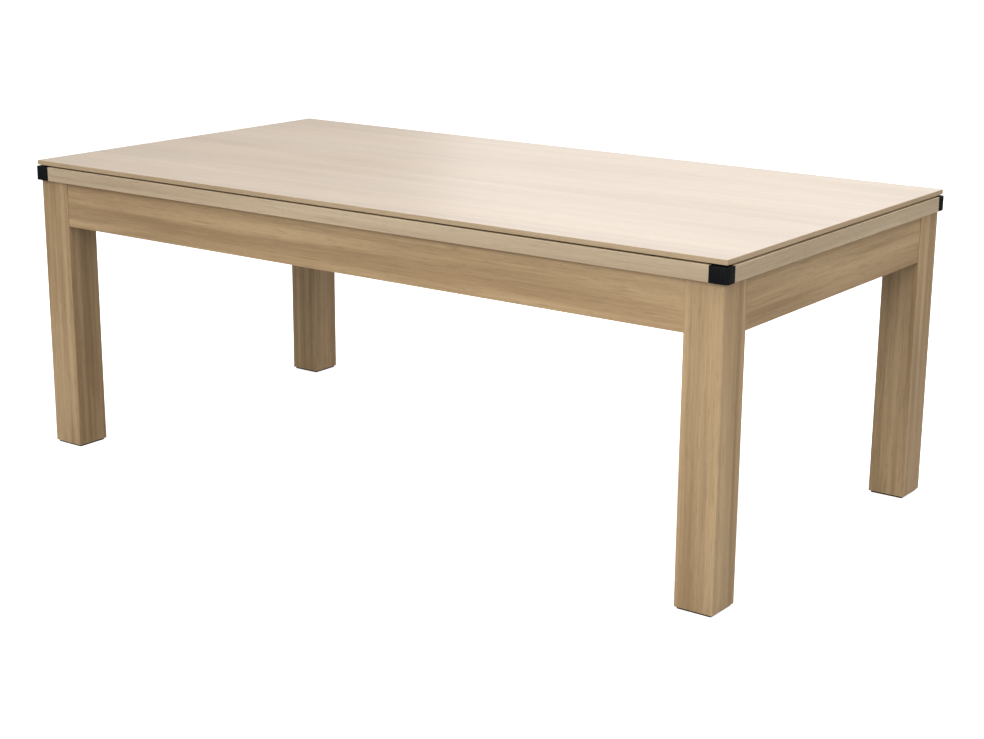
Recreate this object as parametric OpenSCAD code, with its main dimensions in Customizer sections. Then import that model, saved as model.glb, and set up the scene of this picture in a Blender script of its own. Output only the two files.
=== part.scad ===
// Pool table that turns into a dining table: a pocket table in oak decor with a lift-off dining
// top. Millimetres, +Z up. The origin is on the floor under the middle of the table; +X runs
// along its length, and the front is the long side that faces -Y.

/* [Overall size] */
// Length of the rail frame over its outer faces
table_l = 2140; // [2000:10:2400]
// Width of the rail frame over its outer faces
table_w = 1110; // [1000:10:1300]
// Height of the dining surface above the floor
table_h = 800; // [760:5:860]

/* [Dining top] */
// Thickness of the lift-off dining panel
top_t = 12; // [9:1:22]
// How far the panel stops short of the rail's outer face
top_inset = 3; // [0:1:8]
// Thickness of the soft pads under the panel
pad_t = 4; // [2:0.5:5]
// Diameter of a pad
pad_d = 30; // [20:2:36]

/* [Rails and cushions] */
// Height of the rail's outer face
rail_h = 37; // [34:1:40]
// Width of the wooden rail
rail_w = 60; // [58:1:64]
// Depth of a cushion from the rail to its nose
cushion_w = 45; // [42:1:48]
// Height of the cushion's nose above the cloth
nose_h = 36.3; // [32:0.1:37]
// Height of the wooden rail above the cloth
rail_rise = 43; // [41:1:45]

/* [Legs and aprons] */
// Side of a square leg
leg_s = 97; // [92:1:110]
// How far the rails stand out past the legs
overhang = 10; // [6:1:14]
// Depth of the aprons
apron_h = 120; // [115:1:150]
// Thickness of the aprons
apron_t = 20; // [18:1:24]
// How far an apron's face is set back behind the leg's face
apron_set = 3; // [0:1:5]
// Thickness of the foot plates
foot_t = 5; // [4:0.5:8]
// How far a foot plate is set in from the leg's sides
foot_inset = 5; // [3:1:10]

/* [Bed] */
// Thickness of the bed panel
bed_t = 25; // [20:1:27]
// Thickness of the cloth
cloth_t = 1; // [0.8:0.1:1.2]

/* [Pockets] */
// Radius of a corner pocket, inside
corner_r = 50; // [46:1:51]
// Radius of a side pocket, inside
side_r = 45; // [42:1:46]
// Width of a corner pocket's mouth between the cushion points
corner_mouth = 115; // [105:1:120]
// Width of a side pocket's mouth between the cushion points
side_mouth = 114; // [105:1:118]
// Length of a corner casting's arm along the long rail
cap_arm_long = 45; // [42:1:60]
// Length of a corner casting's arm along the short rail
cap_arm_short = 30; // [26:1:45]
// How far a corner casting stands proud of the rails
cap_proud = 1; // [0:0.5:2]
// Rounding of a corner casting's outer edge
cap_round = 8; // [4:1:12]

/* [Hidden] */
$fn = 64;
cut = 1; // how far a cutting solid runs past the face it opens
fit_gap = 0.3; // room between a wooden part and the moulding let into it
skirt_gap = 0.5; // room round a pocket's skirt where it passes through the bed
frame_gap = 0.5; // room between a rail's inner part and the frame

// Colours
oak = [0.80, 0.68, 0.52];
raw_wood = [0.72, 0.56, 0.38];
board = [0.62, 0.48, 0.34];
moulding = [0.07, 0.08, 0.09];
cloth = [0.10, 0.36, 0.24];
steel = [0.66, 0.67, 0.69];
brass = [0.78, 0.62, 0.32];

// Heights, from the dining surface down
panel_z = table_h - top_t;
rail_top = panel_z - pad_t;
frame_top = rail_top - rail_h;
cloth_top = rail_top - rail_rise;
bed_top = cloth_top - cloth_t;
bed_bottom = bed_top - bed_t;
apron_bottom = frame_top - apron_h;

// Distances from the middle, along X and Y
hx = table_l / 2;
hy = table_w / 2;
leg_x = hx - overhang;
leg_y = hy - overhang;
leg_in_x = leg_x - leg_s;
leg_in_y = leg_y - leg_s;
in_x = leg_x - apron_set - apron_t;
in_y = leg_y - apron_set - apron_t;
face_x = hx - rail_w;
face_y = hy - rail_w;
nose_x = face_x - cushion_w;
nose_y = face_y - cushion_w;
rail_end_x = hx - cap_arm_long;
rail_end_y = hy - cap_arm_short;
bed_clear = 1;
bed_x = in_x - bed_clear;
bed_y = in_y - bed_clear;

// Pockets
wall = 2.5; // of a pocket's skirt and of its bag
corner_set = 14;
corner_c = [nose_x + corner_set, nose_y + corner_set];
ring_r = corner_r + 8; // outside of the ring let into the rails
shoulder = 15; // how far the solid part behind a ring runs on into the cap
side_set = 21;
side_c = [0, nose_y + side_set];
side_ring_r = side_r + 7;
skirt_h = 42; // how far a pocket's skirt reaches down through the bed
seat_wall = 7.3; // thickness of the casting's ring where it stands on the cloth
net_floor_z = apron_bottom + 15;
net_band = 12; // height of the band round the skirt
net_band_t = 2;
net_round = 8; // size of the bevels at a bag's neck and floor
net_draw = 2; // how much a bag narrows towards its floor
corner_angle = 38; // turn of a corner facing away from the nose line
side_angle = 76; // turn of a side facing away from the nose line
corner_flare = cushion_w / tan(corner_angle);
side_flare = cushion_w / tan(side_angle);
corner_nose = corner_mouth / sqrt(2);
cushion_foot = 12; // height of a cushion's underside above the cloth, at the rail
cushion_drop = 0.5; // how far a cushion's top is below the rail's top
nose_edge = [1, 1.4]; // how far the nose is blunted, in depth and in height
nose_crown = [6, 2.6]; // where the cushion's top starts to fall to the nose

// Frame under the bed
ledger_w = 22;
ledger_h = 40;
ledger_long = [side_c.x + side_r + 13, corner_c.x - corner_r - 24];
ledger_short = corner_c.y - corner_r - 19;
beam_w = 35;
beam_h = 85;
beam_x = [-560, -160, 160, 560];
bracket_t = 4;
bracket_arm = 170;
bracket_flange_h = 40;
flange_t = 3;
seat_z = apron_bottom + 1; // top of the leg inside the frame, where its bracket sits

// Fasteners
bolt_r = 4;
hole_r = 4.5;
washer_r = 9;
washer_t = 1.6;
head_r = 7.5;
head_h = 5.5;
insert_r = 5.5;
insert_l = 20;
insert_bore_r = 4.05;
bolt_room = 4; // depth left past the end of a rail bolt
leg_bolt_l = 60;
leg_bolt_at = [for (dx = [17, 57], dy = [17, 57]) [in_x - dx, in_y - dy]];
rail_bolt_in = 14; // distance of the rail bolts behind the rail's inner face
rail_bolt_x = [100, 370, 640, 860];
rail_bolt_y = [110, 330];
screw_r = 2.2;
screw_l = 14;
screw_head_r = 4.5;
screw_head_h = 2.2;
screw_z = seat_z + 24;
screw_x = [in_x - 22, leg_in_x - 38, leg_in_x - 78];
screw_y = [in_y - 22, leg_in_y - 38, leg_in_y - 78];

// Levellers
stem_r = 5;
stem_l = 55;
stem_gap = 1;
stem_room = 6; // depth left above the stem
disc_r = 25;
disc_t = 4.7;
disc_gap = 1;
sleeve_r = 8;
sleeve_l = 25;
sleeve_bore_r = 5.05;
leg_c = [leg_x - leg_s / 2, leg_y - leg_s / 2];

// Pads under the dining top
pad_line = 27; // distance of the pads from the rail's outer face
pad_long_x = [300, 880];
pad_short_y = 250;

// ---------- shared shapes ----------

// Puts a shape drawn at the back right corner at the corner with the given signs
module at_corner(sx, sy) {
    mirror([sx < 0 ? 1 : 0, 0, 0])
        mirror([0, sy < 0 ? 1 : 0, 0])
            children();
}

module all_corners() {
    for (sx = [-1, 1], sy = [-1, 1])
        at_corner(sx, sy) children();
}

// Plan of a corner casting's ring and the shoulder that joins it to the cap, grown by a gap
// for the rails let round it
module corner_plan(grow) {
    translate(corner_c) circle(r = ring_r + grow);
    translate([face_x - grow, face_y - grow])
        square([rail_end_x + shoulder - face_x + 2 * grow,
                rail_end_y + shoulder - face_y + 2 * grow]);
}

// The part of the corner that is behind the cushions
module behind_cushions(span) {
    translate([face_x, corner_c.y - span]) square([span, 2 * span]);
    translate([corner_c.x - span, face_y]) square([2 * span, span]);
}

// Plan of the bed and its cloth, with the pocket notches and the rail bolt holes
module bed_plan() {
    side_notch = side_r + wall + skirt_gap;
    difference() {
        square([2 * bed_x, 2 * bed_y], center = true);
        all_corners() {
            translate(corner_c) circle(r = corner_r + wall + skirt_gap);
            translate(corner_c) square([in_x - corner_c.x, in_y - corner_c.y]);
        }
        for (sy = [-1, 1])
            at_corner(1, sy) {
                translate(side_c) circle(r = side_notch);
                translate([-side_notch, side_c.y])
                    square([2 * side_notch, in_y - side_c.y]);
            }
        rail_bolt_places() circle(r = hole_r);
    }
}

// Repeats a shape at every rail bolt
module rail_bolt_places() {
    all_corners() {
        for (x = rail_bolt_x)
            translate([x, face_y + rail_bolt_in]) children();
        for (y = rail_bolt_y)
            translate([face_x + rail_bolt_in, y]) children();
    }
}

// Repeats a shape at one corner's bracket screws, with +Z of the shape into the wood
module bracket_screw_places() {
    for (x = screw_x)
        translate([x, in_y, screw_z]) rotate([-90, 0, 0]) children();
    for (y = screw_y)
        translate([in_x, y, screw_z]) rotate([0, 90, 0]) children();
}

module bracket_screw_holes() {
    bracket_screw_places()
        translate([0, 0, -flange_t - cut]) cylinder(h = screw_l + flange_t + cut, r = screw_r);
}

// Hex bolt with a washer under its head, standing on z = 0 with its shank along +Z
module hex_bolt(length) {
    translate([0, 0, -washer_t - head_h]) cylinder(h = head_h, r = head_r, $fn = 6);
    translate([0, 0, -washer_t]) cylinder(h = washer_t, r = washer_r);
    cylinder(h = length, r = bolt_r);
}

// ---------- legs and feet ----------

// Square leg whose head is cut to an L round the corner pocket
module leg(sx, sy) {
    color(oak)
    at_corner(sx, sy)
    difference() {
        translate([leg_in_x, leg_in_y, foot_t]) cube([leg_s, leg_s, frame_top - foot_t]);
        translate([leg_in_x - cut, leg_in_y - cut, seat_z])
            cube([in_x - leg_in_x + cut, in_y - leg_in_y + cut, apron_h + cut]);
        translate([leg_c.x, leg_c.y, foot_t - cut]) cylinder(h = sleeve_l + cut, r = sleeve_r);
        translate([leg_c.x, leg_c.y, foot_t - cut])
            cylinder(h = stem_l + stem_room, r = stem_r + stem_gap);
        for (p = leg_bolt_at) {
            translate([p.x, p.y, seat_z - insert_l]) cylinder(h = insert_l + cut, r = insert_r);
            translate([p.x, p.y, seat_z - leg_bolt_l]) cylinder(h = leg_bolt_l, r = hole_r);
        }
        bracket_screw_holes();
    }
}

module foot_plate(sx, sy) {
    plate = leg_s - 2 * foot_inset;
    color(moulding)
    at_corner(sx, sy)
    difference() {
        translate([leg_c.x - plate / 2, leg_c.y - plate / 2, 0]) cube([plate, plate, foot_t]);
        translate([leg_c.x, leg_c.y, -cut]) cylinder(h = foot_t + 2 * cut, r = disc_r + disc_gap);
    }
}

// Round foot on a threaded stem
module leveller(sx, sy) {
    color(steel)
    at_corner(sx, sy)
    translate([leg_c.x, leg_c.y, 0]) {
        cylinder(h = disc_t, r = disc_r);
        cylinder(h = disc_t + stem_l, r = stem_r);
    }
}

module leveller_inserts() {
    color(brass)
    all_corners()
    translate([leg_c.x, leg_c.y, foot_t])
    difference() {
        cylinder(h = sleeve_l, r = sleeve_r);
        translate([0, 0, -cut]) cylinder(h = sleeve_l + 2 * cut, r = sleeve_bore_r);
    }
}

// ---------- frame ----------

module long_apron(sy) {
    color(oak)
    at_corner(1, sy)
    difference() {
        translate([-leg_in_x, in_y, apron_bottom]) cube([2 * leg_in_x, apron_t, apron_h]);
        for (sx = [-1, 1])
            at_corner(sx, 1) bracket_screw_holes();
    }
}

module short_apron(sx) {
    color(oak)
    at_corner(sx, 1)
    difference() {
        translate([in_x, -leg_in_y, apron_bottom]) cube([apron_t, 2 * leg_in_y, apron_h]);
        for (sy = [-1, 1])
            at_corner(1, sy) bracket_screw_holes();
    }
}

// Steel bracket on top of the leg, screwed to both aprons and to the leg's head
module corner_bracket(sx, sy) {
    far_x = in_x - bracket_arm;
    far_y = in_y - bracket_arm;
    color(steel)
    at_corner(sx, sy)
    difference() {
        union() {
            translate([0, 0, seat_z])
                linear_extrude(bracket_t)
                    polygon([[in_x, in_y], [far_x, in_y], [far_x, in_y - ledger_h],
                             [in_x - ledger_h, far_y], [in_x, far_y]]);
            translate([far_x, in_y - flange_t, seat_z])
                cube([bracket_arm, flange_t, bracket_flange_h]);
            translate([in_x - flange_t, far_y, seat_z])
                cube([flange_t, bracket_arm, bracket_flange_h]);
        }
        for (p = leg_bolt_at)
            translate([p.x, p.y, seat_z - cut]) cylinder(h = bracket_t + 2 * cut, r = hole_r);
        bracket_screw_holes();
    }
}

module leg_bolts() {
    color(steel)
    all_corners()
    for (p = leg_bolt_at)
        translate([p.x, p.y, seat_z + bracket_t])
            mirror([0, 0, 1]) hex_bolt(leg_bolt_l);
}

module bracket_screws() {
    color(steel)
    all_corners()
    bracket_screw_places() {
        translate([0, 0, -flange_t - screw_head_h]) cylinder(h = screw_head_h, r = screw_head_r);
        translate([0, 0, -flange_t]) cylinder(h = screw_l + flange_t, r = screw_r);
    }
}

// Two strips along one long apron, one each side of the side pocket
module long_ledger(sy) {
    color(raw_wood)
    at_corner(1, sy)
    for (sx = [-1, 1])
        at_corner(sx, 1)
        difference() {
            translate([ledger_long[0], in_y - ledger_w, bed_bottom - ledger_h])
                cube([ledger_long[1] - ledger_long[0], ledger_w, ledger_h]);
            for (x = rail_bolt_x)
                translate([x, face_y + rail_bolt_in, bed_bottom - ledger_h - cut])
                    cylinder(h = ledger_h + 2 * cut, r = hole_r);
        }
}

module short_ledger(sx) {
    color(raw_wood)
    at_corner(sx, 1)
    difference() {
        translate([in_x - ledger_w, -ledger_short, bed_bottom - ledger_h])
            cube([ledger_w, 2 * ledger_short, ledger_h]);
        for (sy = [-1, 1], y = rail_bolt_y)
            translate([face_x + rail_bolt_in, sy * y, bed_bottom - ledger_h - cut])
                cylinder(h = ledger_h + 2 * cut, r = hole_r);
    }
}

// Beam across the frame, notched at both ends over the ledgers
module cross_beam(x) {
    color(raw_wood)
    difference() {
        translate([x - beam_w / 2, -in_y, bed_bottom - beam_h]) cube([beam_w, 2 * in_y, beam_h]);
        for (sy = [-1, 1])
            at_corner(1, sy)
            translate([x - beam_w / 2 - cut, in_y - ledger_w, bed_bottom - ledger_h])
                cube([beam_w + 2 * cut, ledger_w + cut, ledger_h + cut]);
    }
}

// ---------- bed ----------

module bed_panel() {
    color(board)
    translate([0, 0, bed_bottom]) linear_extrude(bed_t) bed_plan();
}

module bed_cloth() {
    color(cloth)
    translate([0, 0, bed_top]) linear_extrude(cloth_t) bed_plan();
}

// ---------- rails and cushions ----------

// Section of a rail: it stands on the cloth inside the frame and laps over the apron outside
function rail_section(face, inner, outer) = [
    [face, cloth_top], [inner - frame_gap, cloth_top], [inner - frame_gap, frame_top],
    [outer, frame_top], [outer, rail_top], [face, rail_top]
];

module insert_hole() {
    translate([0, 0, cloth_top - cut]) cylinder(h = insert_l + cut, r = insert_r);
    translate([0, 0, cloth_top]) cylinder(h = insert_l + bolt_room, r = hole_r);
}

module long_rail(sy) {
    color(oak)
    at_corner(1, sy)
    difference() {
        translate([-rail_end_x, 0, 0])
            rotate([90, 0, 90])
                linear_extrude(2 * rail_end_x) polygon(rail_section(face_y, in_y, hy));
        for (sx = [-1, 1])
            at_corner(sx, 1) {
                translate([0, 0, cloth_top - cut])
                    linear_extrude(rail_rise + 2 * cut) corner_plan(fit_gap);
                for (x = rail_bolt_x)
                    translate([x, face_y + rail_bolt_in, 0]) insert_hole();
            }
        translate([side_c.x, side_c.y, cloth_top - cut])
            cylinder(h = rail_rise + 2 * cut, r = side_ring_r + fit_gap);
    }
}

module short_rail(sx) {
    color(oak)
    at_corner(sx, 1)
    difference() {
        translate([0, rail_end_y, 0])
            rotate([90, 0, 0])
                linear_extrude(2 * rail_end_y) polygon(rail_section(face_x, in_x, hx));
        for (sy = [-1, 1])
            at_corner(1, sy) {
                translate([0, 0, cloth_top - cut])
                    linear_extrude(rail_rise + 2 * cut) corner_plan(fit_gap);
                for (y = rail_bolt_y)
                    translate([face_x + rail_bolt_in, y, 0]) insert_hole();
            }
    }
}

module rail_bolts() {
    color(steel)
    translate([0, 0, bed_bottom - ledger_h])
        rail_bolt_places() hex_bolt(ledger_h + bed_t + cloth_t + insert_l);
}

// Sleeves that take the rail bolts and the leg bolts
module threaded_inserts() {
    color(brass) {
        translate([0, 0, cloth_top]) rail_bolt_places() insert_sleeve();
        all_corners()
            for (p = leg_bolt_at)
                translate([p.x, p.y, seat_z - insert_l]) insert_sleeve();
    }
}

module insert_sleeve() {
    difference() {
        cylinder(h = insert_l, r = insert_r);
        translate([0, 0, -cut]) cylinder(h = insert_l + 2 * cut, r = insert_bore_r);
    }
}

// Section of a cushion, from the rail's inner face towards its nose
function cushion_section(face) =
    let (nose = [face - cushion_w, cloth_top + nose_h])
    [[face, cloth_top + cushion_foot], [face, rail_top - cushion_drop], nose + nose_crown,
     nose + nose_edge, nose, [nose.x + nose_edge.x, nose.y - nose_edge.y]];

// Cushion between a side pocket and a corner pocket
module long_cushion(sx, sy) {
    start = side_mouth / 2;
    end = nose_x - corner_nose;
    color(cloth)
    at_corner(sx, sy)
    intersection() {
        rotate([90, 0, 90]) linear_extrude(hx) polygon(cushion_section(face_y));
        translate([0, 0, cloth_top])
            linear_extrude(rail_rise)
                polygon([[start, nose_y], [end, nose_y],
                         [end + corner_flare, face_y], [start - side_flare, face_y]]);
    }
}

// Cushion between two corner pockets
module short_cushion(sx) {
    end = nose_y - corner_nose;
    color(cloth)
    at_corner(sx, 1)
    intersection() {
        translate([0, hy, 0])
            rotate([90, 0, 0]) linear_extrude(table_w) polygon(cushion_section(face_x));
        translate([0, 0, cloth_top])
            linear_extrude(rail_rise)
                polygon([[nose_x, -end], [nose_x, end],
                         [face_x, end + corner_flare], [face_x, -end - corner_flare]]);
    }
}

// ---------- pockets ----------

// Plan of the visible cap at the table's corner
module cap_plan() {
    side_x = cap_arm_long + cap_proud;
    side_y = cap_arm_short + cap_proud;
    translate([rail_end_x, rail_end_y]) {
        square([side_x - cap_round, side_y]);
        square([side_x, side_y - cap_round]);
        translate([side_x - cap_round, side_y - cap_round]) circle(r = cap_round);
    }
}

// One moulding: the cap, the ring let into the rails, and a skirt down through the bed
module corner_casting(sx, sy) {
    color(moulding)
    at_corner(sx, sy)
    difference() {
        union() {
            translate([0, 0, frame_top])
                linear_extrude(rail_h) {
                    cap_plan();
                    intersection() {
                        corner_plan(0);
                        behind_cushions(hx - corner_c.x);
                    }
                }
            translate([0, 0, cloth_top])
                linear_extrude(rail_rise)
                    intersection() {
                        translate(corner_c) circle(r = corner_r + seat_wall);
                        behind_cushions(ring_r);
                    }
            translate([corner_c.x, corner_c.y, cloth_top - skirt_h])
                cylinder(h = skirt_h, r = corner_r + wall);
        }
        translate([corner_c.x, corner_c.y, cloth_top - skirt_h - cut])
            cylinder(h = skirt_h + rail_rise + 2 * cut, r = corner_r);
    }
}

module side_pocket_liner(sy) {
    color(moulding)
    at_corner(1, sy)
    difference() {
        union() {
            translate([0, 0, frame_top])
                linear_extrude(rail_h)
                    intersection() {
                        translate(side_c) circle(r = side_ring_r);
                        translate([-hx, face_y]) square([table_l, rail_w]);
                    }
            translate([0, 0, cloth_top])
                linear_extrude(rail_rise)
                    intersection() {
                        translate(side_c) circle(r = side_r + wall);
                        translate([-hx, face_y]) square([table_l, rail_w]);
                    }
            translate([side_c.x, side_c.y, cloth_top - skirt_h])
                cylinder(h = skirt_h, r = side_r + wall);
        }
        translate([side_c.x, side_c.y, cloth_top - skirt_h - cut])
            cylinder(h = skirt_h + rail_rise + 2 * cut, r = side_r);
    }
}

// Bag that hangs from a skirt: a band round the skirt, then a wall that narrows to the floor
module pocket_bag(r) {
    neck = cloth_top - skirt_h;
    seat_r = r + wall;
    rotate_extrude()
        polygon([
            [0, net_floor_z], [r - net_round, net_floor_z],
            [r - net_draw, net_floor_z + net_round], [seat_r, neck - net_round],
            [seat_r + net_band_t, neck], [seat_r + net_band_t, neck + net_band],
            [seat_r, neck + net_band], [seat_r, neck], [r, neck - net_round],
            [r - net_draw - wall, net_floor_z + net_round],
            [r - net_round, net_floor_z + wall], [0, net_floor_z + wall]
        ]);
}

module corner_net(sx, sy) {
    color(moulding)
    at_corner(sx, sy)
    translate(corner_c) pocket_bag(corner_r);
}

module side_net(sy) {
    color(moulding)
    at_corner(1, sy)
    translate(side_c) pocket_bag(side_r);
}

// ---------- dining top ----------

module dining_top() {
    color(oak)
    translate([-hx + top_inset, -hy + top_inset, panel_z])
        cube([table_l - 2 * top_inset, table_w - 2 * top_inset, top_t]);
}

module dining_top_pads() {
    color(moulding)
    all_corners() {
        for (x = pad_long_x)
            translate([x, hy - pad_line, rail_top]) cylinder(h = pad_t, r = pad_d / 2);
        translate([hx - pad_line, pad_short_y, rail_top]) cylinder(h = pad_t, r = pad_d / 2);
    }
}

leg(-1, -1);  // leg_front_left
leg(1, -1);  // leg_front_right
leg(-1, 1);  // leg_back_left
leg(1, 1);  // leg_back_right
foot_plate(-1, -1);  // foot_plate_front_left
foot_plate(1, -1);  // foot_plate_front_right
foot_plate(-1, 1);  // foot_plate_back_left
foot_plate(1, 1);  // foot_plate_back_right
leveller(-1, -1);  // leveller_front_left
leveller(1, -1);  // leveller_front_right
leveller(-1, 1);  // leveller_back_left
leveller(1, 1);  // leveller_back_right
leveller_inserts();
long_apron(-1);  // apron_front
long_apron(1);  // apron_back
short_apron(-1);  // apron_left
short_apron(1);  // apron_right
corner_bracket(-1, -1);  // corner_bracket_front_left
corner_bracket(1, -1);  // corner_bracket_front_right
corner_bracket(-1, 1);  // corner_bracket_back_left
corner_bracket(1, 1);  // corner_bracket_back_right
leg_bolts();
bracket_screws();
long_ledger(-1);  // ledger_front
long_ledger(1);  // ledger_back
short_ledger(-1);  // ledger_left
short_ledger(1);  // ledger_right
cross_beam(beam_x[0]);  // cross_beam_1
cross_beam(beam_x[1]);  // cross_beam_2
cross_beam(beam_x[2]);  // cross_beam_3
cross_beam(beam_x[3]);  // cross_beam_4
bed_panel();
bed_cloth();
long_rail(-1);  // rail_front
long_rail(1);  // rail_back
short_rail(-1);  // rail_left
short_rail(1);  // rail_right
rail_bolts();
threaded_inserts();
long_cushion(-1, -1);  // cushion_front_left
long_cushion(1, -1);  // cushion_front_right
long_cushion(-1, 1);  // cushion_back_left
long_cushion(1, 1);  // cushion_back_right
short_cushion(-1);  // cushion_left
short_cushion(1);  // cushion_right
corner_casting(-1, -1);  // corner_casting_front_left
corner_casting(1, -1);  // corner_casting_front_right
corner_casting(-1, 1);  // corner_casting_back_left
corner_casting(1, 1);  // corner_casting_back_right
side_pocket_liner(-1);  // side_pocket_liner_front
side_pocket_liner(1);  // side_pocket_liner_back
corner_net(-1, -1);  // pocket_net_front_left
corner_net(1, -1);  // pocket_net_front_right
corner_net(-1, 1);  // pocket_net_back_left
corner_net(1, 1);  // pocket_net_back_right
side_net(-1);  // pocket_net_side_front
side_net(1);  // pocket_net_side_back
dining_top();
dining_top_pads();
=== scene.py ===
import math

import bmesh
import bpy
from mathutils import Matrix, Vector


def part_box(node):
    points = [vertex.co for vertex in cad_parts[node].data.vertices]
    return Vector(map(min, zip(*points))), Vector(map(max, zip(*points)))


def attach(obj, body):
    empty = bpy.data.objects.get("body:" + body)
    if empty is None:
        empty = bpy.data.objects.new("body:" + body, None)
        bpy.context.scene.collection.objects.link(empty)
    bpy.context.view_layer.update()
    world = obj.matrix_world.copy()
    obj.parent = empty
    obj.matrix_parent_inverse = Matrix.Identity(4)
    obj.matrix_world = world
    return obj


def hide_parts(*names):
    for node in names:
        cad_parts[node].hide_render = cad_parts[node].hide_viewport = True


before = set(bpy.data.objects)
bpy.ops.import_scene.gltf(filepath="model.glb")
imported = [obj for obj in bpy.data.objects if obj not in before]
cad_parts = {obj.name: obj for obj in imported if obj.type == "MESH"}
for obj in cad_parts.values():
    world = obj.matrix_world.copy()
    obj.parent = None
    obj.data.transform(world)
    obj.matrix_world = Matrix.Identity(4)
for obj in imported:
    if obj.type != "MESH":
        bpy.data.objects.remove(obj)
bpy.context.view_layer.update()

X, Y, Z = range(3)
MM = 0.001
CORNERS = {"front_left": (-1, -1), "front_right": (1, -1), "back_left": (-1, 1), "back_right": (1, 1)}
LONG_SIDES = ("front", "back")
SHORT_SIDES = ("left", "right")


# ---------- measures taken from the frame ----------

def low(node):
    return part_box(node)[0]


def high(node):
    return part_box(node)[1]


def below(node):
    """The point of the floor under a node's middle."""
    return (low(node) + high(node)) / 2 * Vector((1, 1, 0))


cloth_z = high("bed_cloth").z
face_x = low("rail_right").x
face_y = low("rail_back").y
cushion_depth = face_y - low("cushion_back_right").y


# ---------- material tools ----------

class Shader:
    """A material being built: every call adds one node and gives back its output."""

    def __init__(self, name):
        self.material = bpy.data.materials.new(name)
        self.material.use_nodes = True
        self.tree = self.material.node_tree
        self.surface = self.tree.nodes["Principled BSDF"]
        self.coords = self.tree.nodes.new("ShaderNodeTexCoord").outputs["Object"]

    def feed(self, socket, value):
        if isinstance(value, bpy.types.NodeSocket):
            self.tree.links.new(value, socket)
        else:
            socket.default_value = value

    def node(self, kind, inputs, **settings):
        made = self.tree.nodes.new(kind)
        for key, value in settings.items():
            setattr(made, key, value)
        for key, value in inputs.items():
            self.feed(made.inputs[key], value)
        return made

    def scaled(self, scale, shift=(0, 0, 0)):
        inputs = {"Vector": self.coords, "Scale": scale, "Location": shift}
        return self.node("ShaderNodeMapping", inputs).outputs["Vector"]

    def noise(self, vector, scale=1.0, detail=2.0, roughness=0.5, distortion=0.0):
        inputs = {"Vector": vector, "Scale": scale, "Detail": detail, "Roughness": roughness,
                  "Distortion": distortion}
        return self.node("ShaderNodeTexNoise", inputs).outputs["Fac"]

    def cells(self, scale):
        inputs = {"Vector": self.coords, "Scale": scale}
        return self.node("ShaderNodeTexVoronoi", inputs).outputs["Distance"]

    def wave(self, scale, distortion, direction):
        inputs = {"Vector": self.coords, "Scale": scale, "Distortion": distortion}
        return self.node("ShaderNodeTexWave", inputs, bands_direction=direction).outputs["Fac"]

    def math(self, operation, a, b=0.0, c=0.0):
        return self.node("ShaderNodeMath", {0: a, 1: b, 2: c}, operation=operation).outputs[0]

    def spread(self, value, old, new=(0.0, 1.0), smooth=False):
        """Maps one range onto another and stops at its ends."""
        inputs = {"Value": value, "From Min": old[0], "From Max": old[1],
                  "To Min": new[0], "To Max": new[1]}
        shape = "SMOOTHSTEP" if smooth else "LINEAR"
        return self.node("ShaderNodeMapRange", inputs, interpolation_type=shape).outputs["Result"]

    def mix(self, share, a, b):
        """The Mix node has its colours at inputs 6 and 7 and at output 2."""
        return self.node("ShaderNodeMix", {0: share, 6: a, 7: b}, data_type="RGBA").outputs[2]

    def bump(self, height, depth, strength):
        inputs = {"Height": height, "Distance": depth, "Strength": strength}
        return self.node("ShaderNodeBump", inputs).outputs["Normal"]

    def finish(self, **inputs):
        """Feeds the surface's sockets, which are named with _ for a space."""
        for key, value in inputs.items():
            self.feed(self.surface.inputs[key.replace("_", " ")], value)
        return self.material


def rgb(red, green, blue):
    return (red, green, blue, 1.0)


def shade(colour, share):
    return rgb(*(c * share for c in colour[:3]))


# ---------- materials ----------

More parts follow.
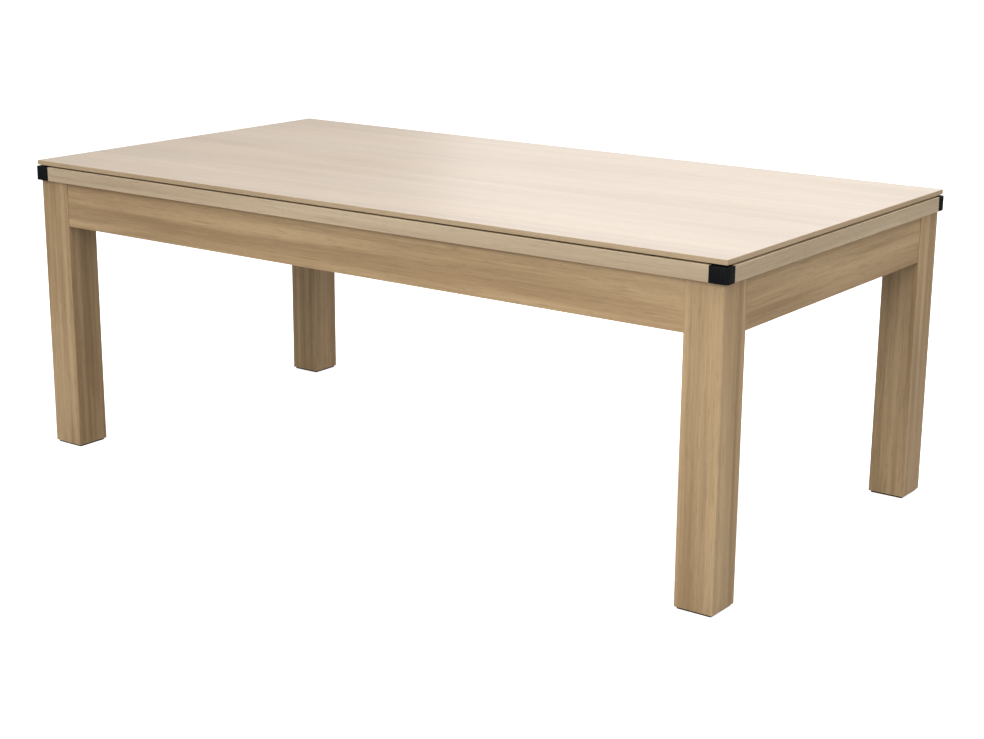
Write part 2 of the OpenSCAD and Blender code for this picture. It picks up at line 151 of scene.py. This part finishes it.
def wood(name, grain, pale, dark, seed, contrast=1.0, rings=9.0, bands=24, dashes=1.0, pores=1.0,
         rough=0.42):
    """Straight-grained wood. Growth rings (contour lines of a long noise), broad bands, streaks,
    fibres and blotches add up to its tone. Short dark dashes and pores lie over that."""
    s = Shader(name)
    shift = (seed * 3.1, seed * 1.7, seed * 2.3)

    def figure(length, width, **settings):
        """A noise that changes length times a metre along the grain, and width times across it."""
        scale = Vector(length if axis == grain else width for axis in (X, Y, Z))
        return s.noise(s.scaled(scale, shift), **settings)

    def centred(value):
        return s.math("SUBTRACT", value, 0.5)

    board = figure(0.45, 4.5, detail=1.5, distortion=0.25)
    growth = s.math("PINGPONG", s.math("MULTIPLY", board, rings), 1.0)
    growth = s.spread(growth, (0.0, 1.0), (-0.5, 0.5), smooth=True)
    band = s.spread(figure(0.7, bands), (0.36, 0.64), (-0.5, 0.5), smooth=True)
    streak = figure(1.1, 55, detail=5, roughness=0.62)
    fibre = figure(9, 430, detail=3, roughness=0.6)
    blotch = figure(1.2, 3.2)
    warmth = s.spread(figure(0.8, 7, detail=3), (0.42, 0.68), (0.0, 0.22))
    dash = s.spread(figure(11, 170, detail=1), (0.58, 0.72), smooth=True)
    pore = s.spread(figure(34, 1250, detail=1.5), (0.60, 0.70), smooth=True)

    tone = 0.5
    weights = ((centred(streak), 1.3 * contrast), (centred(fibre), 0.7 * contrast),
               (growth, 0.26 * contrast), (band, 0.28 * contrast), (centred(blotch), 0.5))
    for pattern, weight in weights:
        tone = s.math("MULTIPLY_ADD", pattern, weight, tone)

    red, green, blue = pale[:3]
    colour = s.mix(tone, dark, pale)
    colour = s.mix(warmth, colour, rgb(red * 1.03, green * 0.93, blue * 0.86))
    colour = s.mix(s.math("MULTIPLY", dash, 0.30 * dashes), colour, shade(dark, 0.80))
    colour = s.mix(s.math("MULTIPLY", pore, 0.42 * pores), colour, shade(dark, 0.55))
    height = s.math("MULTIPLY_ADD", pore, -0.8, s.math("MULTIPLY", fibre, 0.5))
    roughness = s.spread(fibre, (0.3, 0.7), (rough - 0.05, rough + 0.08))
    return s.finish(Base_Color=colour, Roughness=roughness, Normal=s.bump(height, 0.1 * MM, 0.35))


def fibreboard():
    """Raw board pressed from fibres: specks, a cloudy tone and thin layers in its edges."""
    s = Shader("raw_fibreboard")
    speck = s.noise(s.coords, 900, detail=4, roughness=0.7)
    cloud = s.noise(s.coords, 6, detail=3)
    layers = s.noise(s.scaled((30, 30, 400)))
    colour = s.mix(s.spread(speck, (0.3, 0.7)), rgb(0.20, 0.12, 0.06), rgb(0.36, 0.24, 0.135))
    colour = s.mix(s.spread(cloud, (0.3, 0.7), (0.0, 0.35)), colour, rgb(0.30, 0.185, 0.095))
    height = s.math("MULTIPLY_ADD", layers, 0.4, speck)
    return s.finish(Base_Color=colour, Roughness=0.82, Normal=s.bump(height, 0.1 * MM, 0.4))


def moulded(name, colour, rough, shine, pebbles=1500.0):
    """Spark-textured moulding: a fine pebble, slow gloss changes and pale rub marks."""
    s = Shader(name)
    pebble = s.cells(pebbles)
    fine = s.noise(s.coords, pebbles * 0.7)
    cloud = s.noise(s.coords, 22, detail=3)
    rub = s.noise(s.coords, 65, detail=5, roughness=0.7)
    rub = s.spread(rub, (0.62, 0.74), (0.0, 0.35), smooth=True)
    mixed = s.mix(s.spread(cloud, (0.3, 0.7)), shade(colour, 0.8), shade(colour, 1.35))
    mixed = s.mix(rub, mixed, shade(colour, 2.6))
    height = s.math("ADD", pebble, s.math("MULTIPLY", fine, 0.5))
    roughness = s.spread(cloud, (0.3, 0.7), (rough - 0.05, rough + 0.1))
    return s.finish(Base_Color=mixed, Roughness=roughness, Specular_IOR_Level=shine,
                    Normal=s.bump(height, 0.1 * MM, 0.3))


def metallic(name, colour, rough):
    """Bright metal with faint crystals, fine scratches and dull handling marks."""
    s = Shader(name)
    crystal = s.cells(260)
    scratch = s.noise(s.scaled((40, 900, 900)), detail=3)
    dull = s.noise(s.coords, 45, detail=5, roughness=0.65)
    mixed = s.mix(s.spread(crystal, (0.0, 0.8)), colour, shade(colour, 0.8))
    mixed = s.mix(s.spread(dull, (0.5, 0.72), (0.0, 0.45)), mixed, shade(colour, 0.6))
    roughness = s.spread(dull, (0.35, 0.7), (rough, rough + 0.22))
    return s.finish(Base_Color=mixed, Metallic=1.0, Roughness=roughness,
                    Normal=s.bump(scratch, 0.05 * MM, 0.25))


def napped(name, colour):
    """Wool baize: a short nap brushed along the table over a tight weave, with some lint."""
    s = Shader(name)
    weave = s.math("MAXIMUM", s.wave(260, 1.2, "X"), s.wave(260, 1.2, "Y"))
    nap = s.noise(s.scaled((500, 2200, 2200)), detail=4, roughness=0.7)
    brushed = s.noise(s.scaled((2.5, 9, 9)), detail=4)
    lint = s.noise(s.coords, 420, detail=3, roughness=0.8)
    lint = s.spread(lint, (0.70, 0.78), (0.0, 0.3), smooth=True)
    mixed = s.mix(s.spread(nap, (0.25, 0.75)), shade(colour, 0.7), shade(colour, 1.3))
    mixed = s.mix(s.spread(brushed, (0.35, 0.7), (0.0, 0.3)), mixed, shade(colour, 1.5))
    mixed = s.mix(lint, mixed, shade(colour, 2.4))
    height = s.math("MULTIPLY_ADD", weave, 0.3, nap)
    return s.finish(Base_Color=mixed, Roughness=0.95, Sheen_Weight=0.12, Sheen_Roughness=0.45,
                    Normal=s.bump(height, 0.25 * MM, 0.5))


def corded(name, colour):
    """Twisted net cord with a little fuzz."""
    s = Shader(name)
    twist = s.wave(330, 3.0, "DIAGONAL")
    fuzz = s.noise(s.coords, 2500, detail=3)
    mixed = s.mix(twist, shade(colour, 0.6), shade(colour, 1.6))
    mixed = s.mix(s.spread(fuzz, (0.55, 0.8), (0.0, 0.5)), mixed, shade(colour, 3.0))
    height = s.math("MULTIPLY_ADD", fuzz, 0.4, twist)
    return s.finish(Base_Color=mixed, Roughness=0.8, Sheen_Weight=0.2,
                    Normal=s.bump(height, 0.3 * MM, 0.6))


TOP = {"pale": rgb(0.52, 0.44, 0.36), "dark": rgb(0.38, 0.31, 0.245)}
EDGE = {"pale": rgb(0.58, 0.44, 0.28), "dark": rgb(0.40, 0.29, 0.17), "contrast": 0.8}
RAIL = {"pale": rgb(0.64, 0.51, 0.345), "dark": rgb(0.455, 0.345, 0.225)}
OAK = {"pale": rgb(0.59, 0.415, 0.23), "dark": rgb(0.35, 0.227, 0.115), "contrast": 1.5}
PINE = {"pale": rgb(0.62, 0.44, 0.25), "dark": rgb(0.47, 0.30, 0.14), "pores": 0.2, "rough": 0.7,
        "rings": 16}

top_face = wood("oak_top", X, seed=1, contrast=0.6, dashes=0.4, rough=0.34, **TOP)
top_edge_x = wood("oak_top_edge_long", X, seed=2, **EDGE)
top_edge_y = wood("oak_top_edge_short", Y, seed=3, **EDGE)
rail_x = wood("oak_rail_long", X, seed=4, **RAIL)
rail_y = wood("oak_rail_short", Y, seed=5, **RAIL)
apron_x = wood("oak_apron_long", X, seed=6, **OAK)
apron_y = wood("oak_apron_short", Y, seed=7, **OAK)
leg_z = wood("oak_leg", Z, seed=8, bands=44, **OAK)
pine_x = wood("raw_pine_long", X, seed=9, **PINE)
pine_y = wood("raw_pine_short", Y, seed=10, **PINE)
board = fibreboard()
black = moulded("black_moulding", rgb(0.0035, 0.0038, 0.0048), rough=0.50, shine=0.16)
rubber = moulded("black_rubber", rgb(0.009, 0.009, 0.010), rough=0.75, shine=0.25, pebbles=900.0)
zinc = metallic("zinc_plate", rgb(0.60, 0.61, 0.63), rough=0.30)
brass = metallic("insert_brass", rgb(0.70, 0.50, 0.22), rough=0.32)
baize = napped("green_baize", rgb(0.020, 0.135, 0.075))
cord = corded("net_cord", rgb(0.016, 0.016, 0.018))


# ---------- mesh tools ----------

def keep(bm, name, body, materials):
    """Turns the bmesh into a piece of that name that rides on a body."""
    mesh = bpy.data.meshes.new(name)
    bm.to_mesh(mesh)
    bm.free()
    piece = bpy.data.objects.new(name, mesh)
    bpy.context.scene.collection.objects.link(piece)
    for material in materials:
        mesh.materials.append(material)
    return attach(piece, body)


def smooth(piece, angle=32):
    """Shades a piece smooth, but for the edges that turn by more than the angle in degrees."""
    piece.data.shade_smooth()
    piece.data.set_sharp_from_angle(angle=math.radians(angle))


def turns(sides):
    return [2 * math.pi * k / sides for k in range(sides)]


def spot(centre, radius, turn, height):
    """The point at that radius, angle and height about a vertical axis through centre."""
    return centre + Vector((radius * math.cos(turn), radius * math.sin(turn), height))


def ring(bm, points):
    return [bm.verts.new(p) for p in points]


def turned(bm, profile, centre, sides=64):
    """A ring about a vertical axis for each (radius, height) point of the profile."""
    return [ring(bm, (spot(centre, radius, turn, height) for turn in turns(sides)))
            for radius, height in profile]


def skin(bm, rings):
    """Joins neighbouring rings by quads."""
    for a, b in zip(rings, rings[1:]):
        for i in range(len(a)):
            j = (i + 1) % len(a)
            bm.faces.new((a[i], a[j], b[j], b[i]))


def solid(bm, rings):
    """Joins neighbouring rings by quads and closes both ends."""
    skin(bm, rings)
    bm.faces.new(reversed(rings[0]))
    bm.faces.new(rings[-1])


def sweep(bm, path, radius, sides, closed=False):
    """A round cord along the path, with flat ends, or joined end to end where closed."""
    rings = []
    side = None
    for i, point in enumerate(path):
        before = path[i - 1] if i or closed else point
        after = path[(i + 1) % len(path)] if i + 1 < len(path) or closed else point
        run = (after - before).normalized()
        if side is None:
            side = run.orthogonal().normalized()
        side = (side - run * side.dot(run)).normalized()
        up = run.cross(side)
        rings.append(ring(bm, (point + (side * math.cos(t) + up * math.sin(t)) * radius
                               for t in turns(sides))))
    if closed:
        skin(bm, rings + rings[:1])
    else:
        solid(bm, rings)


def arrised(node, arris, shortest=3 * MM):
    """A copy of a CAD node's mesh with its flat faces whole, and with each edge rounded over that
    is longer than the shortest."""
    flat, square = math.radians(1), math.radians(40)
    bm = bmesh.new()
    bm.from_mesh(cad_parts[node].data)
    bmesh.ops.remove_doubles(bm, verts=bm.verts, dist=0.001 * MM)
    bmesh.ops.dissolve_limit(bm, angle_limit=flat, verts=bm.verts, edges=bm.edges)
    sharp = [edge for edge in bm.edges if edge.is_manifold and edge.calc_length() > shortest
             and edge.calc_face_angle() > square]
    bmesh.ops.bevel(bm, geom=sharp, offset=arris, segments=2, profile=0.5, affect="EDGES",
                    clamp_overlap=True)
    return bm


def worked(node, materials, arris, shortest=3 * MM, body="table_frame"):
    """Stands for a CAD node with rounded arrises. The materials are one, or one for the faces
    that look along each axis."""
    bm = arrised(node, arris, shortest)
    if len(materials) == 3:
        for face in bm.faces:
            size = [abs(c) for c in face.normal]
            face.material_index = size.index(max(size))
    piece = keep(bm, node + "_finished", body, materials)
    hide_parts(node)
    return piece


# ---------- wood ----------

def cabinet_work():
    top_grains = [top_edge_y, top_edge_x, top_face]
    worked("dining_top", top_grains, arris=0.8 * MM, body="dining_top")
    for sides, rail, apron, ledger in ((LONG_SIDES, rail_x, apron_x, pine_x),
                                       (SHORT_SIDES, rail_y, apron_y, pine_y)):
        for side in sides:
            worked("rail_" + side, [rail], arris=0.7 * MM)
            worked("apron_" + side, [apron], arris=0.6 * MM)
            worked("ledger_" + side, [ledger], arris=1.5 * MM)
    for corner in CORNERS:
        worked("leg_" + corner, [leg_z], arris=1.0 * MM, shortest=20 * MM)
    for count in range(1, 5):
        worked(f"cross_beam_{count}", [pine_y], arris=1.5 * MM)
    worked("bed_panel", [board], arris=0.5 * MM)


# ---------- mouldings and metal ----------

def mouldings():
    for corner in CORNERS:
        smooth(worked("corner_casting_" + corner, [black], arris=0.7 * MM))
        worked("foot_plate_" + corner, [black], arris=0.6 * MM)
        worked("corner_bracket_" + corner, [zinc], arris=0.5 * MM, shortest=8 * MM)
    for side in LONG_SIDES:
        smooth(worked("side_pocket_liner_" + side, [black], arris=0.7 * MM))


def pads():
    smooth(worked("dining_top_pads", [rubber], arris=0.4 * MM, shortest=1 * MM,
                  body="dining_top"))


def fasteners():
    """The bolts, screws and inserts keep their CAD shapes and get their metal."""
    metals = {"leg_bolts": zinc, "rail_bolts": zinc, "bracket_screws": zinc,
              "threaded_inserts": brass, "leveller_inserts": brass}
    for node, metal in metals.items():
        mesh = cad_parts[node].data
        mesh.materials.clear()
        mesh.materials.append(metal)


FOOT_HEIGHT = 4.7 * MM
STEM_RADIUS = 5 * MM
THREAD_PITCH = 1.5 * MM
THREAD_DEPTH = 0.6 * MM


def threaded_stem(bm, centre, length):
    """A stem that rises from just inside the foot. Its groove is a triangle wave that winds up."""
    sides, steps = 24, 6
    start = FOOT_HEIGHT - 0.2 * MM
    rows = []
    for row in range(int(length / THREAD_PITCH * steps)):
        points = []
        for k, turn in enumerate(turns(sides)):
            phase = (row / steps - k / sides) % 1.0
            groove = THREAD_DEPTH * (1 - abs(2 * phase - 1))
            points.append(spot(centre, STEM_RADIUS - groove, turn, start + row * THREAD_PITCH / steps))
        rows.append(ring(bm, points))
    solid(bm, rows)


def levellers():
    """A round foot with a rolled edge on a stem with a real thread, in each leg."""
    for corner in CORNERS:
        node = "leveller_" + corner
        radius = (high(node).x - low(node).x) / 2
        foot = [(radius - 6 * MM, 0.0), (radius - 1.2 * MM, 0.0), (radius - 0.3 * MM, 0.4 * MM),
                (radius, 1.2 * MM), (radius, 3.2 * MM), (radius - 0.5 * MM, 4.2 * MM),
                (radius - 1.8 * MM, FOOT_HEIGHT), (9 * MM, FOOT_HEIGHT)]
        bm = bmesh.new()
        solid(bm, turned(bm, foot, below(node)))
        threaded_stem(bm, below(node), high(node).z - FOOT_HEIGHT)
        piece = keep(bm, node + "_threaded", node, [zinc])
        smooth(piece, 40)
        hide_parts(node)


# ---------- cloth ----------

def bed_cloth():
    bm = arrised("bed_cloth", arris=0.3 * MM)
    piece = keep(bm, "bed_cloth_stretched", "table_frame", [baize])
    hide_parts("bed_cloth")


NOSE = 36.3 * MM
CORNER_FACING = math.radians(38)
SIDE_FACING = math.radians(14)
corner_run = cushion_depth / math.tan(CORNER_FACING)
side_run = cushion_depth * math.tan(SIDE_FACING)


def cushion(node, start, end, start_run, end_run, place):
    """Rubber cushion in tight cloth. start and end are where its nose ends along the rail, the
    runs are how far each facing leans out behind the nose, and place maps (along, depth, height)
    into the frame, with depth counted from the rail's face."""
    top = high(node).z - cloth_z
    # (share of the depth, height over the cloth): up the rail, over the top, round the nose, back
    profile = [(0.0, 13.5 * MM), (0.0, top - 2.5 * MM), (0.05, top - 0.4 * MM), (0.35, 41.6 * MM),
               (0.72, 40.0 * MM), (0.90, 38.9 * MM), (0.97, 38.2 * MM), (1.0, NOSE + 0.4 * MM),
               (1.0, NOSE - 0.6 * MM), (0.97, NOSE - 1.8 * MM), (0.86, 33.0 * MM),
               (0.55, 26.0 * MM), (0.22, 18.2 * MM), (0.06, 13.8 * MM)]
    centre = Vector((sum(p[0] for p in profile), sum(p[1] for p in profile))) / len(profile)
    bm = bmesh.new()

    def section(inset, swell, share):
        """The profile, swollen about its centre, at a share of the way between the insets."""
        points = []
        for d, h in profile:
            d = centre.x + (d - centre.x) * swell
            h = centre.y + (h - centre.y) * swell
            first = start - start_run * (1 - d) + inset
            last = end + end_run * (1 - d) - inset
            points.append(place(first + (last - first) * share, d * cushion_depth, cloth_z + h))
        return ring(bm, points)

    # (inset, swell): each facing is drawn in and rounds over into the straight stretch
    facing = [(0, 0.80), (0, 0.93), (0.6 * MM, 0.985), (2.5 * MM, 1), (14 * MM, 1), (40 * MM, 1)]
    straight, cuts = facing[-1], 12
    rings = [section(*step, 0) for step in facing]
    rings += [section(*straight, i / cuts) for i in range(1, cuts)]
    rings += [section(*step, 1) for step in reversed(facing)]
    solid(bm, rings)
    bmesh.ops.recalc_face_normals(bm, faces=bm.faces)
    piece = keep(bm, node + "_wrapped", "table_frame", [baize])
    smooth(piece, 50)
    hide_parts(node)


def on_long_rail(sx, sy):
    return lambda run, depth, height: Vector((sx * run, sy * (face_y - depth), height))


def on_short_rail(sx):
    return lambda run, depth, height: Vector((sx * (face_x - depth), run, height))


def cushions():
    """Four long cushions between corner and side pockets, and two short ones between corners."""
    start = low("cushion_back_right").x + side_run
    end = high("cushion_back_right").x - corner_run
    for corner, (sx, sy) in CORNERS.items():
        cushion("cushion_" + corner, start, end, side_run, corner_run, on_long_rail(sx, sy))
    reach = high("cushion_right").y - corner_run
    for side, sx in zip(SHORT_SIDES, (-1, 1)):
        cushion("cushion_" + side, -reach, reach, corner_run, corner_run, on_short_rail(sx))


CORD_RADIUS = 0.9 * MM
KNOT_RADIUS = 9 * MM


def net(node):
    """Knitted pocket net: a stitched band round the pocket's skirt, then a diamond mesh of cord
    that bellies out, narrows and is gathered into a knotted ring underneath."""
    centre = below(node)
    rim = high(node).z
    outer = (high(node).x - low(node).x) / 2
    band = [(outer - 2.0 * MM, rim - 11 * MM), (outer - 0.4 * MM, rim - 11.6 * MM),
            (outer, rim - 10 * MM), (outer, rim - 2 * MM), (outer - 0.5 * MM, rim - 0.3 * MM),
            (outer - 2.0 * MM, rim)]
    bm = bmesh.new()
    rings = turned(bm, band, centre)
    skin(bm, rings + rings[:1])

    strands, steps, crossings = 18, 22, 11
    bottom = low(node).z + CORD_RADIUS + 0.3 * MM
    drop = rim - 13 * MM - bottom
    belly = outer - 3.4 * MM - KNOT_RADIUS
    swing = 0.62 * math.pi
    weave = 0.35 * MM
    for start in turns(strands):
        for way in (-1, 1):
            path = []
            for i in range(steps + 1):
                down = i / steps
                radius = KNOT_RADIUS + belly * (1 - down ** 3.2)
                radius += way * weave * math.sin(math.pi * crossings * down)
                height = bottom + drop * (1 - down) ** 1.35
                path.append(spot(centre, radius, start + way * swing * down, height))
            sweep(bm, path, CORD_RADIUS, sides=5)
    knot = [spot(centre, KNOT_RADIUS, turn, bottom + 0.6 * MM) for turn in turns(32)]
    sweep(bm, knot, 1.7 * MM, sides=8, closed=True)
    bmesh.ops.recalc_face_normals(bm, faces=bm.faces)
    piece = keep(bm, node + "_knitted", "table_frame", [cord])
    smooth(piece, 60)
    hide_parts(node)


def nets():
    for corner in CORNERS:
        net("pocket_net_" + corner)
    for side in LONG_SIDES:
        net("pocket_net_side_" + side)


# ---------- stage ----------

AZIMUTH, ELEVATION, ROLL = (math.radians(a) for a in (36.16, 15.25, 0.42))
TARGET = Vector((0.324, -0.356, 0.400))
DISTANCE = 4.5
LENS = 67.81

WHITE = rgb(1.0, 1.0, 1.0)
SKY_SEEN, SKY_CAST = 1.05, 0.30
FLOOR_GLOW = 0.80
FLOOR_CAST = rgb(0.25, 0.25, 0.25)


def camera():
    data = bpy.data.cameras.new("camera")
    data.lens = LENS
    data.sensor_width = 36
    data.clip_end = 200
    view = bpy.data.objects.new("camera", data)
    back = Vector((math.sin(AZIMUTH) * math.cos(ELEVATION), -math.cos(AZIMUTH) * math.cos(ELEVATION),
                   math.sin(ELEVATION)))
    right = (-back).cross(Vector((0, 0, 1))).normalized()
    up = right.cross(-back)
    across = right * math.cos(ROLL) + up * math.sin(ROLL)
    tall = up * math.cos(ROLL) - right * math.sin(ROLL)
    turn = Matrix((across, tall, back)).transposed()
    view.matrix_world = Matrix.Translation(TARGET + back * DISTANCE) @ turn.to_4x4()
    bpy.context.scene.collection.objects.link(view)
    bpy.context.scene.camera = view


def floor():
    """A pale floor that glows towards the camera only and casts less light back than it shows."""
    s = Shader("pale_floor")
    cloud = s.noise(s.coords, 0.6, detail=3)
    tone = s.mix(s.spread(cloud, (0.3, 0.7)), shade(WHITE, 0.80), shade(WHITE, 0.84))
    seen = s.node("ShaderNodeLightPath", {}).outputs["Is Camera Ray"]
    s.finish(Base_Color=s.mix(seen, FLOOR_CAST, tone), Roughness=0.9, Emission_Color=WHITE,
             Emission_Strength=s.math("MULTIPLY", seen, FLOOR_GLOW))
    bm = bmesh.new()
    bmesh.ops.create_grid(bm, x_segments=8, y_segments=8, size=60)
    mesh = bpy.data.meshes.new("floor")
    bm.to_mesh(mesh)
    bm.free()
    mesh.materials.append(s.material)
    plane = bpy.data.objects.new("floor", mesh)
    bpy.context.scene.collection.objects.link(plane)


def softbox(name, place, aim, size, power):
    data = bpy.data.lights.new(name, "AREA")
    data.shape = "RECTANGLE"
    data.size, data.size_y = size
    data.energy = power
    lamp = bpy.data.objects.new(name, data)
    lamp.location = place
    lamp.rotation_mode = "QUATERNION"
    lamp.rotation_quaternion = (Vector(aim) - Vector(place)).to_track_quat("-Z", "Y")
    bpy.context.scene.collection.objects.link(lamp)


def sky():
    """White behind the table, but darker in the light that it casts."""
    world = bpy.data.worlds.new("studio")
    world.use_nodes = True
    tree = world.node_tree
    background = tree.nodes["Background"]
    background.inputs["Color"].default_value = WHITE
    seen = tree.nodes.new("ShaderNodeLightPath").outputs["Is Camera Ray"]
    level = tree.nodes.new("ShaderNodeMapRange")
    level.inputs["To Min"].default_value = SKY_CAST
    level.inputs["To Max"].default_value = SKY_SEEN
    tree.links.new(seen, level.inputs["Value"])
    tree.links.new(level.outputs["Result"], background.inputs["Strength"])
    bpy.context.scene.world = world
    bpy.context.scene.view_settings.view_transform = "Standard"


def softboxes():
    softbox("overhead", place=(0.2, 0.1, 4.2), aim=(0, 0, 0), size=(5, 4), power=210)
    softbox("key", place=(1.3, -6.2, 3.9), aim=(0.3, 0, 0.5), size=(7, 5), power=322)
    softbox("side", place=(6.5, 0.3, 3.0), aim=(0.3, 0, 0.5), size=(4, 3), power=115)
    softbox("backdrop", place=(-1.2, 6.0, 3.2), aim=(0.3, 0, 0.8), size=(6.5, 4), power=75)


cabinet_work()
mouldings()
pads()
fasteners()
levellers()
bed_cloth()
cushions()
nets()
camera()
floor()
sky()
softboxes()
